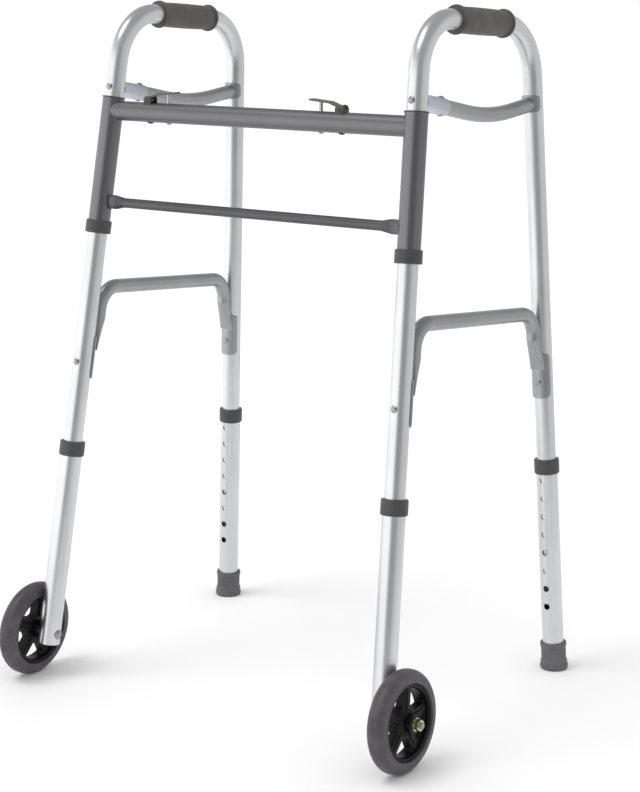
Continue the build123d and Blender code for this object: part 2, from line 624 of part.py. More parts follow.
def main():
    """Write every node of the walker as its own file."""
    os.makedirs("parts", exist_ok=True)
    rear_facing = Rot(0, 0, 180)
    wheel_place = SIDE * Location((WHEEL_OFFSET, 0, AXLE_Z), (0, 90, 0))
    axle_place = SIDE * Location((0, 0, AXLE_Z), (0, 90, 0))
    axle_hole = Location((0, 0, AXLE_Z), (0, 90, 0)) * rod(AXLE_R + SEAT_GAP, -REACH, REACH)
    front_extension = extension(FRONT, FRONT_COLLAR_H, FRONT_EXT_END_H, FRONT_TOP_HOLE_H) - axle_hole
    rear_extension = extension(REAR, REAR_COLLAR_H, TIP_SOLE_T + TIP_SEAT, REAR_TOP_HOLE_H)
    wheel_bush = ring(BUSH_R, AXLE_R + RUN_GAP, -BOSS_IN, BOSS_OUT)
    one_side = {
        "side_tube": SIDE * side_tube(),
        "grip": SIDE * grip(),
        "bar_socket": SIDE * bar_socket(),
        "side_bar": SIDE * side_bar(),
        "brace": SIDE * brace(),
        "side_rivets": SIDE * side_rivets(),
        "front_extension": FRONT * front_extension,
        "front_collar": FRONT * collar(FRONT, FRONT_COLLAR_H),
        "front_button": FRONT * Pos(0, 0, FRONT_BUTTON_Z) * button(),
        "rear_extension": REAR * rear_facing * rear_extension,
        "rear_collar": REAR * collar(REAR, REAR_COLLAR_H),
        "rear_button": REAR * Pos(0, 0, REAR_BUTTON_Z) * rear_facing * button(),
        "rear_tip": rubber_tip(),
        "tyre": wheel_place * tyre(),
        "hub": wheel_place * hub(),
        "wheel_bush": wheel_place * wheel_bush,
        "axle": axle_place * axle(),
        "axle_nut": axle_place * axle_nut(),
        "axle_spacer": axle_place * axle_spacer(),
        "sleeve": sleeve(),
        "sleeve_cap": FRONT * sleeve_cap(),
        "sleeve_ring": FRONT * sleeve_ring(),
    }
    nodes = {"upper_crossbar": upper_crossbar(), "lower_crossbar": lower_crossbar()}
    leg_x = HINGE_X - FRONT_SPLAY * (UPPER_BAR_H - REF_HEIGHT)
    nose_x = leg_x - FRAME_R / cos(radians(LEG_TILT)) - CLEAR_GAP
    for side, pivot in (("left", LEFT_PIVOT_X), ("right", RIGHT_PIVOT_X)):
        lock = {
            "lever": on_bar(pivot, lever()),
            "lever_bracket": on_bar(pivot, lever_bracket()),
            "lever_rest": on_bar(pivot + REST_X, lever_rest()),
            "plunger": on_bar(pivot, plunger(nose_x - pivot)),
            "plunger_housing": on_bar(pivot, housing()),
        }
        for name, shape in (one_side | lock).items():
            nodes[f"{side}_{name}"] = shape if side == "left" else mirrored(shape)
    for name, shape in nodes.items():
        export_step(shape, f"parts/{name}.step")


main()
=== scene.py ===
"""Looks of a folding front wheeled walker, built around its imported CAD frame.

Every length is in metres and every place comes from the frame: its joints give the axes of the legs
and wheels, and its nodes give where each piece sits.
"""

from __future__ import annotations

import json
import logging
import math
from dataclasses import dataclass
from enum import Enum
from typing import Sequence

import bmesh
import bpy
import numpy
from mathutils import Matrix, Vector


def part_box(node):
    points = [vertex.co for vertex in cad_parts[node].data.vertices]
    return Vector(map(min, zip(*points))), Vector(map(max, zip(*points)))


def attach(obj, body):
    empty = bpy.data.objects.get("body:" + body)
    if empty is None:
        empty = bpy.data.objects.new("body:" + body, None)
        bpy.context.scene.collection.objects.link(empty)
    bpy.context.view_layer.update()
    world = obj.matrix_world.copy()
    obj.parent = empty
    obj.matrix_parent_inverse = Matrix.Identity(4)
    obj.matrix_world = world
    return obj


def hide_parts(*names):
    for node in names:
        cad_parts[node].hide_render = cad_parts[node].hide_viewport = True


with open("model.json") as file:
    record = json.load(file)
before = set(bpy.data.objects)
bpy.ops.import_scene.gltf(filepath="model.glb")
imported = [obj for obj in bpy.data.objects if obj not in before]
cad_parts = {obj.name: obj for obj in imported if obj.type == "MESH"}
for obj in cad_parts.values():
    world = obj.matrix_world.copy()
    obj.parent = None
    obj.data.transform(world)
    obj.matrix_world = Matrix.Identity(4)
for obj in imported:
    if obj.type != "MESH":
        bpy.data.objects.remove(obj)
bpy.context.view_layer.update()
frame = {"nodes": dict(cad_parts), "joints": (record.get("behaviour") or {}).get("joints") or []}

MM = 0.001
SHARP_EDGE = math.radians(40)
LOG = logging.getLogger("walker")

Colour = tuple[float, float, float]
Profile = Sequence[tuple[float, float]]


# Names of the frame


class Side(Enum):
    """The two sides of the walker, named from where its user stands."""

    LEFT = "left"
    RIGHT = "right"

    def node(self, name: str) -> str:
        """Return the name of this side's node or body."""
        return f"{self.value}_{name}"


class Leg(Enum):
    """The two legs of a side frame."""

    FRONT = "front"
    REAR = "rear"


def joint(name: str) -> dict:
    """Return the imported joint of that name."""
    return next(row for row in frame["joints"] if row["name"] == name)


def middle(node: str) -> Vector:
    """Return the middle of a CAD node's box at rest.

    Args:
        node: the CAD node's name.

    Returns:
        The point halfway between its lowest and highest corners.
    """
    low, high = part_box(node)
    return (low + high) / 2


def axes(origin: Vector, z_axis: Vector, x_hint: Vector) -> Matrix:
    """Make a local frame from an origin and two directions.

    Args:
        origin: where the frame sits.
        z_axis: direction of its Z axis.
        x_hint: rough direction of its X axis, made square to Z.

    Returns:
        The matrix that takes local points to the walker's frame.
    """
    z = z_axis.normalized()
    x = (x_hint - z * x_hint.dot(z)).normalized()
    y = z.cross(x)
    turn = Matrix((x, y, z)).transposed()
    return Matrix.Translation(origin) @ turn.to_4x4()


# Materials


class Graph:
    """A material's node tree, with short calls for the nodes that the finishes share."""

    def __init__(self, name: str) -> None:
        """Start a material with its shader already wired to the output.

        Args:
            name: the material's name.
        """
        self.material = bpy.data.materials.new(name)
        self.material.use_nodes = True
        self.tree = self.material.node_tree
        self.shader = next(n for n in self.tree.nodes if n.type == "BSDF_PRINCIPLED")

    def node(self, kind: str, **settings: object) -> bpy.types.Node:
        """Add a node and set its attributes.

        Args:
            kind: Blender's name for the node.
            **settings: attributes to set on it.

        Returns:
            The new node.
        """
        made = self.tree.nodes.new(kind)
        for key, value in settings.items():
            setattr(made, key, value)
        return made

    def join(self, start: bpy.types.NodeSocket, end: bpy.types.NodeSocket) -> None:
        """Link one socket to another."""
        self.tree.links.new(start, end)

    def place(self, stretch: Sequence[float] = (1.0, 1.0, 1.0)) -> bpy.types.NodeSocket:
        """Return object coordinates, stretched along each axis.

        Args:
            stretch: scale of the coordinates along X, Y and Z.

        Returns:
            The vector socket.
        """
        mapping = self.node("ShaderNodeMapping")
        mapping.inputs["Scale"].default_value = stretch
        self.join(self.node("ShaderNodeTexCoord").outputs["Object"], mapping.inputs["Vector"])
        return mapping.outputs["Vector"]

    def noise(
        self, scale: float, detail: float = 3.0, stretch: Sequence[float] = (1, 1, 1)
    ) -> bpy.types.NodeSocket:
        """Return a noise value.

        Args:
            scale: features per metre.
            detail: octaves of finer noise.
            stretch: scale of the coordinates along each axis.

        Returns:
            The value socket, about 0.5 on average.
        """
        made = self.node("ShaderNodeTexNoise")
        made.inputs["Scale"].default_value = scale
        made.inputs["Detail"].default_value = detail
        self.join(self.place(stretch), made.inputs["Vector"])
        return made.outputs["Fac"]

    def cells(self, scale: float, smooth: bool = False) -> bpy.types.NodeSocket:
        """Return the distance to the nearest of a scatter of points.

        Args:
            scale: points per metre.
            smooth: whether neighbouring cells run into each other.

        Returns:
            The distance socket.
        """
        made = self.node("ShaderNodeTexVoronoi", feature="SMOOTH_F1" if smooth else "F1")
        made.inputs["Scale"].default_value = scale
        self.join(self.place(), made.inputs["Vector"])
        return made.outputs["Distance"]

    def span(
        self, value: bpy.types.NodeSocket, low: float, high: float, start: float = 0.3, end: float = 0.7
    ) -> bpy.types.NodeSocket:
        """Map a value onto a range.

        Args:
            value: the value to map.
            low: result at start.
            high: result at end.
            start: value that gives low.
            end: value that gives high.

        Returns:
            The mapped value socket.
        """
        made = self.node("ShaderNodeMapRange")
        made.inputs["From Min"].default_value = start
        made.inputs["From Max"].default_value = end
        made.inputs["To Min"].default_value = low
        made.inputs["To Max"].default_value = high
        self.join(value, made.inputs["Value"])
        return made.outputs["Result"]

    def mix(
        self, factor: bpy.types.NodeSocket, first: Colour | bpy.types.NodeSocket, second: Colour
    ) -> bpy.types.NodeSocket:
        """Mix two colours.

        Args:
            factor: 0 gives the first colour and 1 the second.
            first: a colour or a colour socket.
            second: a colour.

        Returns:
            The mixed colour socket.
        """
        made = self.node("ShaderNodeMix", data_type="RGBA")
        self.join(factor, made.inputs["Factor"])
        if isinstance(first, bpy.types.NodeSocket):
            self.join(first, made.inputs["A"])
        else:
            made.inputs["A"].default_value = (*first, 1.0)
        made.inputs["B"].default_value = (*second, 1.0)
        return made.outputs["Result"]

    def bump(self, height: bpy.types.NodeSocket, strength: float, distance: float) -> None:
        """Raise the surface by a height value, on top of any bump already there.

        Args:
            height: the value that raises the surface.
            strength: how much of it shows.
            distance: height of a full value, in metres.
        """
        made = self.node("ShaderNodeBump")
        made.inputs["Strength"].default_value = strength
        made.inputs["Distance"].default_value = distance
        self.join(height, made.inputs["Height"])
        normal = self.shader.inputs["Normal"]
        if normal.is_linked:
            self.join(normal.links[0].from_socket, made.inputs["Normal"])
        self.join(made.outputs["Normal"], normal)


@dataclass(frozen=True)
class Finish:
    """What every finish states: its colours, gloss and grain."""

    name: str
    slot: str
    colour: Colour
    shade: Colour
    metal: float = 0.0
    gloss: tuple[float, float] = (0.4, 0.5)
    mottle: float = 14.0
    grain: float = 900.0
    relief: float = 0.1
    shine: float = 0.5
    depth: float = 0.0002

    def material(self) -> bpy.types.Material:
        """Make the finish's material, or find it if it is already made.

        Returns:
            The material, shared by every piece with this finish.
        """
        title = f"{self.name}_finish"
        found = bpy.data.materials.get(title)
        if found:
            return found
        graph = Graph(title)
        graph.shader.inputs["Metallic"].default_value = self.metal
        graph.shader.inputs["Specular IOR Level"].default_value = self.shine
        self.paint(graph)
        return graph.material

    def paint(self, graph: Graph) -> None:
        """Wire the colour, roughness and relief into the shader.

        Args:
            graph: the material's node tree.
        """
        graph.join(self.tone(graph), graph.shader.inputs["Base Color"])
        fine = graph.noise(self.grain, 4.0)
        graph.join(graph.span(fine, *self.gloss), graph.shader.inputs["Roughness"])
        graph.bump(fine, self.relief, self.depth)

    def tone(self, graph: Graph, detail: float = 3.0) -> bpy.types.NodeSocket:
        """Return the cloudy mix of the finish's two colours.

        Args:
            graph: the material's node tree.
            detail: octaves of the cloud's finer noise.

        Returns:
            The colour socket.
        """
        cloud = graph.span(graph.noise(self.mottle, detail), 0.0, 1.0)
        return graph.mix(cloud, self.colour, self.shade)

    def gleam(self, graph: Graph) -> None:
        """Vary the roughness by a fine grain."""
        graph.join(graph.span(graph.noise(self.grain), *self.gloss), graph.shader.inputs["Roughness"])


@dataclass(frozen=True)
class DrawnTube(Finish):
    """Drawn and anodised tube: faint lines along the tube under an even satin."""

    line_scale: float = 1400.0
    line_stretch: tuple[float, float, float] = (1.0, 1.0, 0.02)
    line_depth: float = 0.00006
    pore_depth: float = 0.00005
    rub: float = 0.18
    rub_shade: float = 0.72

    def paint(self, graph: Graph) -> None:
        """Add draw lines and a few rubbed patches to the base finish.

        Args:
            graph: the material's node tree.
        """
        lines = graph.noise(self.line_scale, 3.0, self.line_stretch)
        rubbed = tuple(self.rub_shade * part for part in self.shade)
        tone = graph.mix(graph.span(lines, 0.0, self.rub, 0.45, 0.8), self.tone(graph, 2.0), rubbed)
        graph.join(tone, graph.shader.inputs["Base Color"])
        graph.join(graph.span(lines, *self.gloss), graph.shader.inputs["Roughness"])
        graph.bump(lines, self.relief, self.line_depth)
        graph.bump(graph.noise(self.grain, 2.0), self.relief, self.pore_depth)


@dataclass(frozen=True)
class PowderCoat(Finish):
    """Sprayed and baked paint with a slight orange peel."""

    peel: float = 420.0
    peel_depth: float = 0.0003
    wear: float = 0.5
    wear_light: float = 2.2

    def paint(self, graph: Graph) -> None:
        """Add the orange peel and worn edges to the base finish.

        Args:
            graph: the material's node tree.
        """
        edges = graph.node("ShaderNodeNewGeometry").outputs["Pointiness"]
        bare = tuple(self.wear_light * part for part in self.colour)
        tone = graph.mix(graph.span(edges, 0.0, self.wear, 0.52, 0.62), self.tone(graph), bare)
        graph.join(tone, graph.shader.inputs["Base Color"])
        self.gleam(graph)
        graph.bump(graph.noise(self.peel, 2.0), self.relief, self.peel_depth)


@dataclass(frozen=True)
class Moulded(Finish):
    """Moulded plastic: fine spark-eroded texture and faint flow marks."""

    texture: float = 2600.0

    def paint(self, graph: Graph) -> None:
        """Add the mould texture to the base finish.

        Args:
            graph: the material's node tree.
        """
        graph.join(self.tone(graph, 2.0), graph.shader.inputs["Base Color"])
        self.gleam(graph)
        graph.bump(graph.cells(self.texture, smooth=True), self.relief, self.depth)


@dataclass(frozen=True)
class SoftRubber(Finish):
    """Rubber or soft vinyl: pebbled skin with patches of pale dust."""

    pebble: float = 1500.0
    dust: Colour = (0.3, 0.29, 0.28)
    dust_amount: float = 0.15
    pebble_depth: float = 0.00025

    def paint(self, graph: Graph) -> None:
        """Add the pebble and the dust to the base finish.

        Args:
            graph: the material's node tree.
        """
        dusty = graph.span(graph.noise(self.mottle * 4, 6.0), 0.0, self.dust_amount, 0.45, 0.75)
        graph.join(graph.mix(dusty, self.tone(graph), self.dust), graph.shader.inputs["Base Color"])
        self.gleam(graph)
        graph.bump(graph.cells(self.pebble), self.relief, self.pebble_depth)


SATIN_TUBE = DrawnTube(
    name="satin_tube", slot="satin_tube",
    colour=(0.69, 0.695, 0.705), shade=(0.63, 0.635, 0.645),
    metal=1.0, gloss=(0.28, 0.35), relief=0.05,
)
BAR_TUBE = DrawnTube(
    name="bar_tube", slot="bar_tube",
    colour=(0.38, 0.385, 0.395), shade=(0.33, 0.335, 0.345),
    metal=1.0, gloss=(0.32, 0.42), relief=0.06,
)
SOCKET_METAL = PowderCoat(
    name="socket_metal", slot="socket_metal",
    colour=(0.42, 0.42, 0.48), shade=(0.38, 0.38, 0.44),
    metal=0.8, gloss=(0.35, 0.45), relief=0.1,
)
SLEEVE_PAINT = PowderCoat(
    name="sleeve_paint", slot="dark_paint",
    colour=(0.115, 0.115, 0.12), shade=(0.092, 0.092, 0.097),
    metal=0.92, gloss=(0.28, 0.36), relief=0.1,
)
BAR_PAINT = PowderCoat(
    name="bar_paint", slot="dark_paint",
    colour=(0.115, 0.115, 0.12), shade=(0.095, 0.095, 0.1),
    metal=0.85, gloss=(0.38, 0.48), relief=0.1,
)
DARK_PLASTIC = Moulded(
    name="dark_plastic", slot="dark_plastic",
    colour=(0.06, 0.06, 0.063), shade=(0.048, 0.048, 0.05),
    metal=0.0, gloss=(0.4, 0.52), relief=0.2,
)
GRIP_VINYL = SoftRubber(
    name="grip_vinyl", slot="grip_rubber",
    colour=(0.09, 0.074, 0.074), shade=(0.072, 0.06, 0.06),
    metal=0.0, gloss=(0.5, 0.62), relief=0.25,
)
TIP_RUBBER = SoftRubber(
    name="tip_rubber", slot="tip_rubber",
    colour=(0.12, 0.12, 0.125), shade=(0.095, 0.095, 0.1),
    metal=0.0, gloss=(0.55, 0.7), relief=0.25,
)
TYRE_RUBBER = SoftRubber(
    name="tyre_rubber", slot="tyre_rubber",
    colour=(0.066, 0.06, 0.068), shade=(0.052, 0.047, 0.054),
    metal=0.0, gloss=(0.42, 0.55), relief=0.15,
)
HUB_PLASTIC = Moulded(
    name="hub_plastic", slot="hub_plastic",
    colour=(0.006, 0.006, 0.0065), shade=(0.004, 0.004, 0.0045),
    metal=0.0, gloss=(0.4, 0.52), relief=0.12, shine=0.2,
)
RIVET_METAL = Finish(
    name="rivet_metal", slot="rivet_metal",
    colour=(0.4, 0.4, 0.41), shade=(0.3, 0.3, 0.31),
    metal=1.0, gloss=(0.3, 0.42), mottle=60.0,
)
ZINC_BOLT = Finish(
    name="zinc_bolt", slot="zinc_bolt",
    colour=(0.6, 0.56, 0.33), shade=(0.5, 0.48, 0.32),
    metal=1.0, gloss=(0.22, 0.36), mottle=90.0,
)
PIN_STEEL = Finish(
    name="pin_steel", slot="pin_steel",
    colour=(0.5, 0.5, 0.51), shade=(0.42, 0.42, 0.43),
    metal=1.0, gloss=(0.25, 0.36), mottle=60.0,
)
LEVER_PAINT = PowderCoat(
    name="lever_paint", slot="lever_metal",
    colour=(0.07, 0.07, 0.06), shade=(0.055, 0.055, 0.048),
    metal=0.6, gloss=(0.35, 0.45), relief=0.12,
)
FLOOR_PAINT = Finish(
    name="floor_paint", slot="",
    colour=(0.98, 0.98, 0.98), shade=(0.965, 0.965, 0.967),
    metal=0.0, gloss=(0.7, 0.8), mottle=1.5, grain=60.0, relief=0.02,
)


def dress(finish: Finish, *pieces: bpy.types.Object) -> None:
    """Give pieces a finish in place of any they had.

    Args:
        finish: the finish to give.
        pieces: mesh objects.
    """
    for piece in pieces:
        piece.data.materials.clear()
        piece.data.materials.append(finish.material())


def dress_nodes(finish: Finish, *nodes: str) -> None:
    """Give CAD nodes a finish."""
    dress(finish, *(frame["nodes"][node] for node in nodes))
    LOG.info("dressed %s in %s", ", ".join(nodes), finish.name)


# Meshes


def spin(profile: Profile, turns: int) -> bmesh.types.BMesh:
    """Turn a closed outline about the local Z axis.

    Args:
        profile: (radius, height) points round the section, in millimetres.
        turns: how many steps make the circle.

    Returns:
        The mesh, in millimetres.
    """
    mesh = bmesh.new()
    rings = []
    for step in range(turns):
        angle = math.tau * step / turns
        x, y = math.cos(angle), math.sin(angle)
        rings.append([mesh.verts.new((radius * x, radius * y, height)) for radius, height in profile])
    count = len(profile)
    for step, ring in enumerate(rings):
        after = rings[(step + 1) % turns]
        for k in range(count):
            mesh.faces.new((ring[k], after[k], after[(k + 1) % count], ring[(k + 1) % count]))
    bmesh.ops.recalc_face_normals(mesh, faces=mesh.faces)
    return mesh


def arc(
    centre: tuple[float, float], radius: float, start: float, end: float, steps: int
) -> list[tuple[float, float]]:
    """Return points along an arc.

    Args:
        centre: (radius, height) of its middle, in millimetres.
        radius: its radius in millimetres.
        start: first angle in degrees, from outward towards up.
        end: last angle in degrees.
        steps: how many stretches it has.

    Returns:
        The points from start to end.
    """
    out, up = centre
    angles = (math.radians(start + (end - start) * k / steps) for k in range(steps + 1))
    return [(out + radius * math.cos(angle), up + radius * math.sin(angle)) for angle in angles]


def piece_from(
    name: str, mesh: bmesh.types.BMesh, place: Matrix, body: str, finish: Finish
) -> bpy.types.Object:
    """Make a finished piece from a mesh in millimetres and tie it to a body.

    Args:
        name: the piece's name.
        mesh: its mesh in its own frame, which this call frees.
        place: the matrix that takes the piece's frame to the walker's.
        body: the CAD body it moves with.
        finish: its finish.

    Returns:
        The new object.
    """
    bmesh.ops.scale(mesh, vec=(MM, MM, MM), verts=mesh.verts)
    bmesh.ops.transform(mesh, matrix=place, verts=mesh.verts)
    bmesh.ops.recalc_face_normals(mesh, faces=mesh.faces)
    for face in mesh.faces:
        face.smooth = True
    data = bpy.data.meshes.new(name)
    mesh.to_mesh(data)
    mesh.free()
    data.set_sharp_from_angle(angle=SHARP_EDGE)
    piece = bpy.data.objects.new(name, data)
    bpy.context.scene.collection.objects.link(piece)
    dress(finish, piece)
    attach(piece, body)
    LOG.info("made %s, which moves with %s", name, body)
    return piece


@dataclass(frozen=True)
class SideAxes:
    """Axes of one side frame, read from its joints."""

    side: Side

    @property
    def outward(self) -> Vector:
        """Return the direction out of the side frame."""
        return Vector(joint(self.side.node("wheel_turn"))["axis"]).normalized()

    def up(self, leg: Leg) -> Vector:
        """Return the direction up a leg."""
        return -Vector(joint(self.side.node(f"{leg.value}_height"))["axis"]).normalized()

    def along(self, node: str) -> Vector:
        """Return the direction in which a turned node is longest.

        Args:
            node: the CAD node's name.

        Returns:
            The unit direction.
        """
        data = frame["nodes"][node].data
        points = numpy.empty(len(data.vertices) * 3)
        data.vertices.foreach_get("co", points)
        points = points.reshape(-1, 3)
        _, _, rows = numpy.linalg.svd(points - points.mean(axis=0), full_matrices=False)
        return Vector(rows[0]).normalized()


# Sub-assemblies


@dataclass
class HandGrip:
    """Soft vinyl grip with a flange at each end, in millimetres."""

    side: Side
    length: float = 114.3
    bore: float = 12.75
    body: float = 16.7
    waist: float = 16.1
    flange: float = 18.2
    flange_width: float = 4.0
    groove: float = 0.7
    flange_foot: float = 0.6
    swell_steps: int = 9
    swell_step: float = 10.0
    swell_end: float = 95.0
    turns: int = 96

    def outline(self) -> Profile:
        """Draw half of the grip's section and mirror it about the middle.

        Returns:
            The section's points.
        """
        half = self.length / 2
        inner = half - self.flange_width
        round_off = self.flange_width / 2
        end = arc((self.flange - round_off, half - round_off), round_off, -90, 90, 8)
        swell = []
        for k in range(self.swell_steps):
            degrees = k * self.swell_step
            radius = self.waist + (self.body - self.waist) * math.cos(math.radians(degrees))
            swell.append((radius, inner * degrees / self.swell_end))
        low = self.waist - self.groove
        neck = [(self.waist, inner - 3.0), (low, inner - 2.2), (low, inner - 1.0)]
        upper = swell + neck + [(self.waist + self.flange_foot, inner)] + end + [(self.bore, half)]
        lower = [(radius, -height) for radius, height in reversed(upper) if height > 0]
        return upper + lower

    def build(self) -> None:
        """Make the grip in place of the plain one."""
        node = self.side.node("grip")
        run = SideAxes(self.side).along(node)
        place = axes(middle(node), run, Vector((0, 0, 1)))
        mesh = spin(self.outline(), self.turns)
        grip = piece_from(self.side.node("hand_grip"), mesh, place, self.side.node("side_frame"), GRIP_VINYL)
        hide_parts(node)


@dataclass
class RubberTip:
    """Moulded rubber ferrule under a rear leg, in millimetres up its axis from the floor."""

    side: Side
    bore: float = 14.35
    neck: float = 16.9
    band: float = 17.9
    foot: float = 19.2
    sole: float = 18.5
    foot_height: float = 10.0
    top: float = 38.0
    sole_thickness: float = 8.0
    below: float = 6.0
    centre: float = 0.01
    foot_round: float = 2.0
    rim_round: float = 1.4
    ribs: int = 3
    groove: float = 0.35
    turns: int = 96

    def outline(self) -> Profile:
        """Draw the tip's section from its sole up to its rim and back down the bore.

        Returns:
            The section's points.
        """
        sole = [
            (self.centre, self.sole_thickness),
            (self.centre, -self.below),
            (self.sole - 1.5, -self.below),
            (self.sole, 0.8),
        ]
        round_middle = (self.foot - self.foot_round, self.foot_height - 5.0)
        foot = arc(round_middle, self.foot_round, -30, 60, 6)
        shoulder = [(self.neck + 1.4, self.foot_height + 1.5), (self.neck + 0.3, self.foot_height + 3.6)]
        rim = [
            (self.neck, self.top - 6.6),
            *arc((self.band - 1.0, self.top - 5.0), 1.0, -80, 0, 4),
            *arc((self.band - self.rim_round, self.top - self.rim_round), self.rim_round, 0, 90, 6),
        ]
        bore = [(self.bore, self.top), (self.bore, self.sole_thickness)]
        return sole + foot + shoulder + self.grooves() + rim + bore

    def grooves(self) -> Profile:
        """Draw the grooved wall between the foot and the rim.

        Returns:
            The wall's points, from low to high.
        """
        rise = self.foot_height + 6.0
        step = (self.top - 7.0 - rise) / self.ribs
        low = self.neck - self.groove
        walls = []
        for rib in range(self.ribs):
            start = rise + rib * step
            walls += [(self.neck, start), (self.neck, start + step * 0.7)]
            walls += [(low, start + step * 0.78), (low, start + step * 0.92)]
        return walls

    def build(self) -> None:
        """Make the tip and press its sole flat on the floor."""
        node = self.side.node("rear_tip")
        up = SideAxes(self.side).up(Leg.REAR)
        collar = middle(self.side.node("rear_collar"))
        floor = collar - up * (collar.z / up.z)
        place = axes(floor, up, Vector((1, 0, 0)))
        mesh = spin(self.outline(), self.turns)
        turn = place.to_3x3()
        for point in mesh.verts:
            height = floor.z / MM + turn[2].dot(point.co)
            if height < 0:
                point.co -= turn.inverted() @ Vector((0, 0, height))
        tip = piece_from(self.side.node("ribbed_tip"), mesh, place, self.side.node("rear_leg"), TIP_RUBBER)
        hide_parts(node)


@dataclass
class Wheel:
    """Solid tyre with a parting line, on a moulded hub with ribbed spokes, in millimetres."""

    side: Side
    radius: float = 63.5
    width: float = 24.0
    seat: float = 47.5
    tread_round: float = 10.5
    seam: float = 0.35
    lip_round: float = 1.4
    turns: int = 160
    spokes: int = 5
    rib_root: float = 17.5
    rib_end: float = 42.3
    rib_foot: float = 5.0
    rib_face: float = 6.0
    rib_height: float = 1.8
    rib_half: float = 3.4
    rib_waist: float = 1.2

    def place(self) -> Matrix:
        """Find the wheel's frame, with Z outward along the axle and X down the leg.

        Returns:
            The matrix that takes the wheel's frame to the walker's.
        """
        turn = joint(self.side.node("wheel_turn"))
        down = -SideAxes(self.side).up(Leg.FRONT)
        return axes(Vector(turn["pos_m"]), Vector(turn["axis"]), down)

    def outline(self) -> Profile:
        """Draw one half of the tyre's section, from the seam to the seat, and mirror it.

        Returns:
            The section's points.
        """
        half = self.width / 2
        shoulder = self.radius - self.tread_round
        tread = arc((shoulder, half - self.tread_round), self.tread_round, 8, 82, 14)
        lip = arc((self.seat + 1.6, half - 0.4), self.lip_round, 60, 150, 5)
        wall = [(shoulder - 1.5, half), (self.seat + 3.6, half), *lip, (self.seat, half - 3.0)]
        bottom = self.radius - self.seam
        above = [(bottom, 0.45), (self.radius, 0.9), *tread, *wall]
        below = [(radius, -height) for radius, height in reversed(above)]
        return [(bottom, 0.0)] + above + below

    def build(self) -> None:
        """Make the tyre and the ribs on the hub."""
        body = self.side.node("wheel")
        mesh = spin(self.outline(), self.turns)
        tyre = piece_from(self.side.node("solid_tyre"), mesh, self.place(), body, TYRE_RUBBER)
        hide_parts(self.side.node("tyre"))
        piece_from(self.side.node("hub_ribs"), self.ribs(), self.place(), body, HUB_PLASTIC)

    def ribs(self) -> bmesh.types.BMesh:
        """Raise a rib along each spoke, on both faces of the web.

        Returns:
            The mesh of all the ribs, in millimetres.
        """
        mesh = bmesh.new()
        for face in (-1, 1):
            for turn in range(self.spokes):
                angle = math.pi + math.tau * turn / self.spokes
                rows = [self.rib_row(mesh, face, angle, share) for share in (0.0, 0.5, 1.0)]
                for first, second in zip(rows, rows[1:]):
                    for k in range(len(first)):
                        after = (k + 1) % len(first)
                        mesh.faces.new((first[k], first[after], second[after], second[k]))
                mesh.faces.new(rows[0])
                mesh.faces.new(list(reversed(rows[-1])))
        return mesh

    def rib_row(
        self, mesh: bmesh.types.BMesh, face: int, angle: float, share: float
    ) -> list[bmesh.types.BMVert]:
        """Add the points of a rib's section.

        Args:
            mesh: the mesh to add them to.
            face: 1 for the outer face of the web and -1 for the inner.
            angle: which way the spoke runs, in radians.
            share: how far along the rib the section is, from 0 at the boss to 1 at the rim.

        Returns:
            The section's points in order.
        """
        along = Vector((math.cos(angle), math.sin(angle), 0))
        across = Vector((-along.y, along.x, 0))
        run = self.rib_root + (self.rib_end - self.rib_root) * share
        half = self.rib_half - self.rib_waist * math.sin(math.pi * share)
        height = self.rib_face + self.rib_height * (1 - 0.35 * share)
        edge = height - 0.8
        section = (
            (-1, self.rib_foot), (-1, edge), (-0.6, height), (0.6, height), (1, edge), (1, self.rib_foot),
        )
        points = (along * run + across * half * w + Vector((0, 0, face * z)) for w, z in section)
        return [mesh.verts.new(point) for point in points]


@dataclass
class BoltThread:
    """Rolled thread on the end of the wheel bolt past its nut, in millimetres."""

    side: Side
    core: float = 3.2
    crest: float = 4.05
    pitch: float = 1.25
    root: float = 3.7
    flank: float = 0.05
    bare_end: float = 0.4
    turns: int = 32

    def build(self) -> None:
        """Make the thread along the bare end of the bolt."""
        leg = SideAxes(self.side)
        out = leg.outward
        face = self.end("axle_nut")
        start = Vector(joint(self.side.node("wheel_turn"))["pos_m"])
        start += out * (face - start.dot(out))
        place = axes(start, out, -leg.up(Leg.FRONT))
        mesh = spin(self.outline((self.end("axle") - face) / MM - self.bare_end), self.turns)
        piece_from(self.side.node("bolt_thread"), mesh, place, self.side.node("front_leg"), ZINC_BOLT)

    def outline(self, length: float) -> Profile:
        """Draw the thread's section, one ridge for each pitch.

        Args:
            length: the bare length of the bolt, in millimetres.

        Returns:
            The section's points.
        """
        count = int(length / self.pitch)
        profile = [(self.core, 0.0)]
        for ridge in range(count):
            low = ridge * self.pitch
            profile += [(self.root, low + self.flank), (self.crest, low + self.pitch * 0.4)]
            profile += [(self.crest, low + self.pitch * 0.6), (self.root, low + self.pitch - self.flank)]
        return profile + [(self.core, count * self.pitch)]

    def end(self, name: str) -> float:
        """Find how far out a node reaches along the axle.

        Args:
            name: the node's name without its side.

        Returns:
            The place of its outermost point along the outward direction, in metres.
        """
        out = SideAxes(self.side).outward
        return max(point.co.dot(out) for point in frame["nodes"][self.side.node(name)].data.vertices)


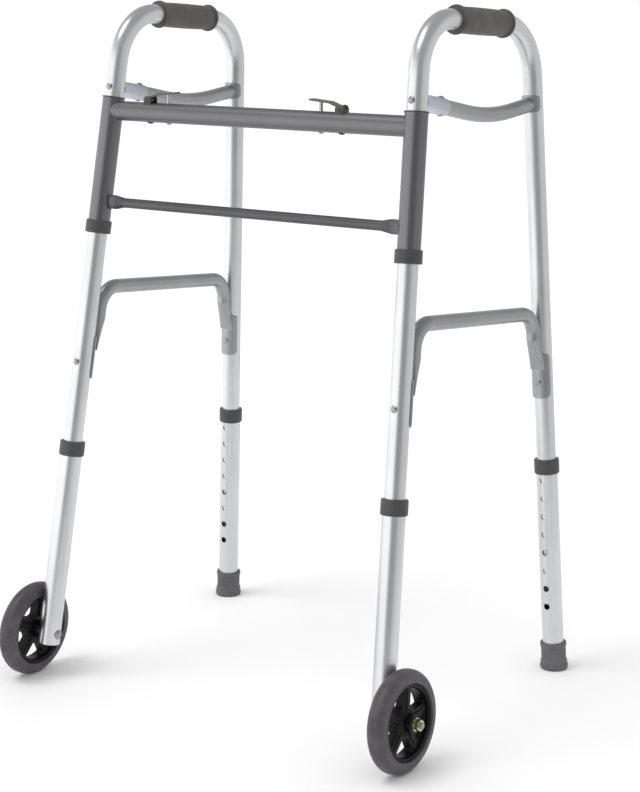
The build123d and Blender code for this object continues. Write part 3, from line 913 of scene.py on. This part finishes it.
@dataclass
class SideFrame:
    """One side: its tubes, rivets, buttons and the pieces it carries."""

    side: Side

    def build(self) -> None:
        """Dress the side's CAD nodes and make its detailed pieces."""
        self.dress(SATIN_TUBE, "side_tube", "front_extension", "rear_extension")
        self.dress(BAR_TUBE, "side_bar", "brace")
        self.dress(SOCKET_METAL, "bar_socket")
        self.dress(RIVET_METAL, "side_rivets", "axle")
        self.dress(DARK_PLASTIC, "front_collar", "rear_collar", "sleeve_cap", "sleeve_ring")
        self.dress(SLEEVE_PAINT, "sleeve")
        self.dress(PIN_STEEL, "front_button", "rear_button", "wheel_bush", "axle_spacer")
        self.dress(ZINC_BOLT, "axle_nut")
        self.dress(HUB_PLASTIC, "hub")
        HandGrip(self.side).build()
        RubberTip(self.side).build()
        Wheel(self.side).build()
        BoltThread(self.side).build()

    def dress(self, finish: Finish, *names: str) -> None:
        """Give this side's nodes a finish."""
        dress_nodes(finish, *(self.side.node(name) for name in names))


@dataclass
class FoldLock:
    """Release lever of one side with its bracket, plunger and housing."""

    side: Side

    def build(self) -> None:
        """Dress the lock's CAD nodes."""
        dress_nodes(LEVER_PAINT, self.side.node("lever"), self.side.node("lever_bracket"))
        dress_nodes(PIN_STEEL, self.side.node("plunger"), self.side.node("lever_rest"))
        dress_nodes(DARK_PLASTIC, self.side.node("plunger_housing"))


@dataclass
class Crossbars:
    """The two bars between the sides."""

    def build(self) -> None:
        """Dress both bars."""
        dress_nodes(BAR_PAINT, "upper_crossbar", "lower_crossbar")


# Stage


@dataclass
class Studio:
    """Pale floor, soft lights and the camera."""

    floor_radius: float = 1.3
    target: Colour = (0.0403, 0.012, 0.3922)
    azimuth: float = 34.503
    elevation: float = 12.618
    distance: float = 2.5148
    lens: float = 87.27
    sensor: float = 36.0
    backdrop: float = 1.1
    fill: float = 0.84
    gloss: float = 1.6
    key: float = 0.9
    ceiling: float = 0.28
    sun_angle: float = 28.0
    ceiling_start: float = 0.25
    ceiling_end: float = 0.6
    wall_levels: tuple[tuple[float, float], ...] = (
        (-180, 0.6),
        (-110, 0.95),
        (-34, 0.95),
        (-20, 0.23),
        (26, 0.23),
        (48, 0.45),
        (180, 0.55),
    )

    @property
    def right(self) -> Vector:
        """Return the level direction to the camera's right."""
        facing = math.radians(self.azimuth)
        return Vector((math.cos(facing), math.sin(facing), 0))

    @property
    def towards(self) -> Vector:
        """Return the level direction from the walker towards the camera."""
        facing = math.radians(self.azimuth)
        return Vector((math.sin(facing), -math.cos(facing), 0))

    def build(self) -> None:
        """Make the whole stage."""
        self.floor()
        self.sky()
        self.lights()
        self.camera()

    def floor(self) -> None:
        """Lay a round floor with a faintly uneven pale finish."""
        mesh = bmesh.new()
        bmesh.ops.create_circle(mesh, cap_ends=True, segments=64, radius=self.floor_radius)
        data = bpy.data.meshes.new("floor")
        mesh.to_mesh(data)
        mesh.free()
        floor = bpy.data.objects.new("floor", data)
        bpy.context.scene.collection.objects.link(floor)
        data.materials.append(FLOOR_PAINT.material())

    def sky(self) -> None:
        """Show the room white, light matt faces evenly and give gloss a bright left and a dark front."""
        world = bpy.data.worlds.new("studio")
        bpy.context.scene.world = world
        world.use_nodes = True
        tree = world.node_tree
        tree.nodes.clear()
        seen = self.glow(tree, self.backdrop)
        fill = self.glow(tree, self.fill)
        gloss = self.glow(tree, self.gloss)
        tree.links.new(self.walls(tree), gloss.inputs["Color"])
        path = tree.nodes.new("ShaderNodeLightPath")
        inner = tree.nodes.new("ShaderNodeMixShader")
        tree.links.new(path.outputs["Is Glossy Ray"], inner.inputs["Fac"])
        tree.links.new(fill.outputs[0], inner.inputs[1])
        tree.links.new(gloss.outputs[0], inner.inputs[2])
        outer = tree.nodes.new("ShaderNodeMixShader")
        tree.links.new(path.outputs["Is Camera Ray"], outer.inputs["Fac"])
        tree.links.new(inner.outputs[0], outer.inputs[1])
        tree.links.new(seen.outputs[0], outer.inputs[2])
        out = tree.nodes.new("ShaderNodeOutputWorld")
        tree.links.new(outer.outputs[0], out.inputs["Surface"])

    def glow(self, tree: bpy.types.NodeTree, strength: float) -> bpy.types.Node:
        """Add a white background node.

        Args:
            tree: the world's node tree.
            strength: its strength.

        Returns:
            The new node.
        """
        made = tree.nodes.new("ShaderNodeBackground")
        made.inputs["Color"].default_value = (1.0, 1.0, 1.0, 1.0)
        made.inputs["Strength"].default_value = strength
        return made

    def walls(self, tree: bpy.types.NodeTree) -> bpy.types.NodeSocket:
        """Return the room's brightness by direction, as bright and dark walls round the walker.

        Args:
            tree: the world's node tree.

        Returns:
            The colour socket.
        """
        direction = tree.nodes.new("ShaderNodeTexCoord").outputs["Generated"]
        reach = []
        for side in (self.right, self.towards):
            dot = tree.nodes.new("ShaderNodeVectorMath")
            dot.operation = "DOT_PRODUCT"
            dot.inputs[1].default_value = side
            tree.links.new(direction, dot.inputs[0])
            reach.append(dot.outputs["Value"])
        turn = tree.nodes.new("ShaderNodeMath")
        turn.operation = "ARCTAN2"
        tree.links.new(reach[0], turn.inputs[0])
        tree.links.new(reach[1], turn.inputs[1])
        share = tree.nodes.new("ShaderNodeMapRange")
        share.inputs["From Min"].default_value = -math.pi
        share.inputs["From Max"].default_value = math.pi
        tree.links.new(turn.outputs[0], share.inputs["Value"])
        walls = tree.nodes.new("ShaderNodeValToRGB")
        ramp = walls.color_ramp
        ramp.elements.remove(ramp.elements[1])
        for k, (degrees, level) in enumerate(self.wall_levels):
            spot = ramp.elements[0] if k == 0 else ramp.elements.new(0.5 + degrees / 360)
            spot.position = 0.5 + degrees / 360
            spot.color = (level, level, level, 1.0)
        tree.links.new(share.outputs["Result"], walls.inputs["Fac"])
        rise = tree.nodes.new("ShaderNodeSeparateXYZ")
        tree.links.new(direction, rise.inputs[0])
        above = tree.nodes.new("ShaderNodeMapRange")
        above.inputs["From Min"].default_value = self.ceiling_start
        above.inputs["From Max"].default_value = self.ceiling_end
        tree.links.new(rise.outputs["Z"], above.inputs["Value"])
        mixed = tree.nodes.new("ShaderNodeMix")
        mixed.data_type = "RGBA"
        colours = [socket for socket in mixed.inputs if socket.type == "RGBA"]
        tree.links.new(above.outputs["Result"], mixed.inputs[0])
        tree.links.new(walls.outputs["Color"], colours[0])
        colours[1].default_value = (self.ceiling, self.ceiling, self.ceiling, 1.0)
        return next(socket for socket in mixed.outputs if socket.type == "RGBA")

    def lights(self) -> None:
        """Hang a broad soft sun high on the left."""
        data = bpy.data.lights.new("key", "SUN")
        data.energy = self.key
        data.angle = math.radians(self.sun_angle)
        lamp = bpy.data.objects.new("key", data)
        source = (-self.right * 0.75 + self.towards * 0.25 + Vector((0, 0, 1.6))).normalized()
        lamp.rotation_euler = (-source).to_track_quat("-Z", "Y").to_euler()
        bpy.context.scene.collection.objects.link(lamp)

    def camera(self) -> None:
        """Place the camera round the walker."""
        data = bpy.data.cameras.new("camera")
        data.lens = self.lens
        data.sensor_width = self.sensor
        turn, rise = math.radians(self.azimuth), math.radians(self.elevation)
        back = Vector((math.sin(turn) * math.cos(rise), -math.cos(turn) * math.cos(rise), math.sin(rise)))
        camera = bpy.data.objects.new("camera", data)
        camera.location = Vector(self.target) + back * self.distance
        camera.rotation_euler = (-back).to_track_quat("-Z", "Y").to_euler()
        bpy.context.scene.collection.objects.link(camera)
        bpy.context.scene.camera = camera
        bpy.context.scene.view_settings.view_transform = "Standard"


def main() -> None:
    """Build the stage and every sub-assembly in order."""
    Studio().build()
    Crossbars().build()
    for side in Side:
        SideFrame(side).build()
        FoldLock(side).build()


if __name__ == "__main__":
    logging.basicConfig(level=logging.INFO)
    main()
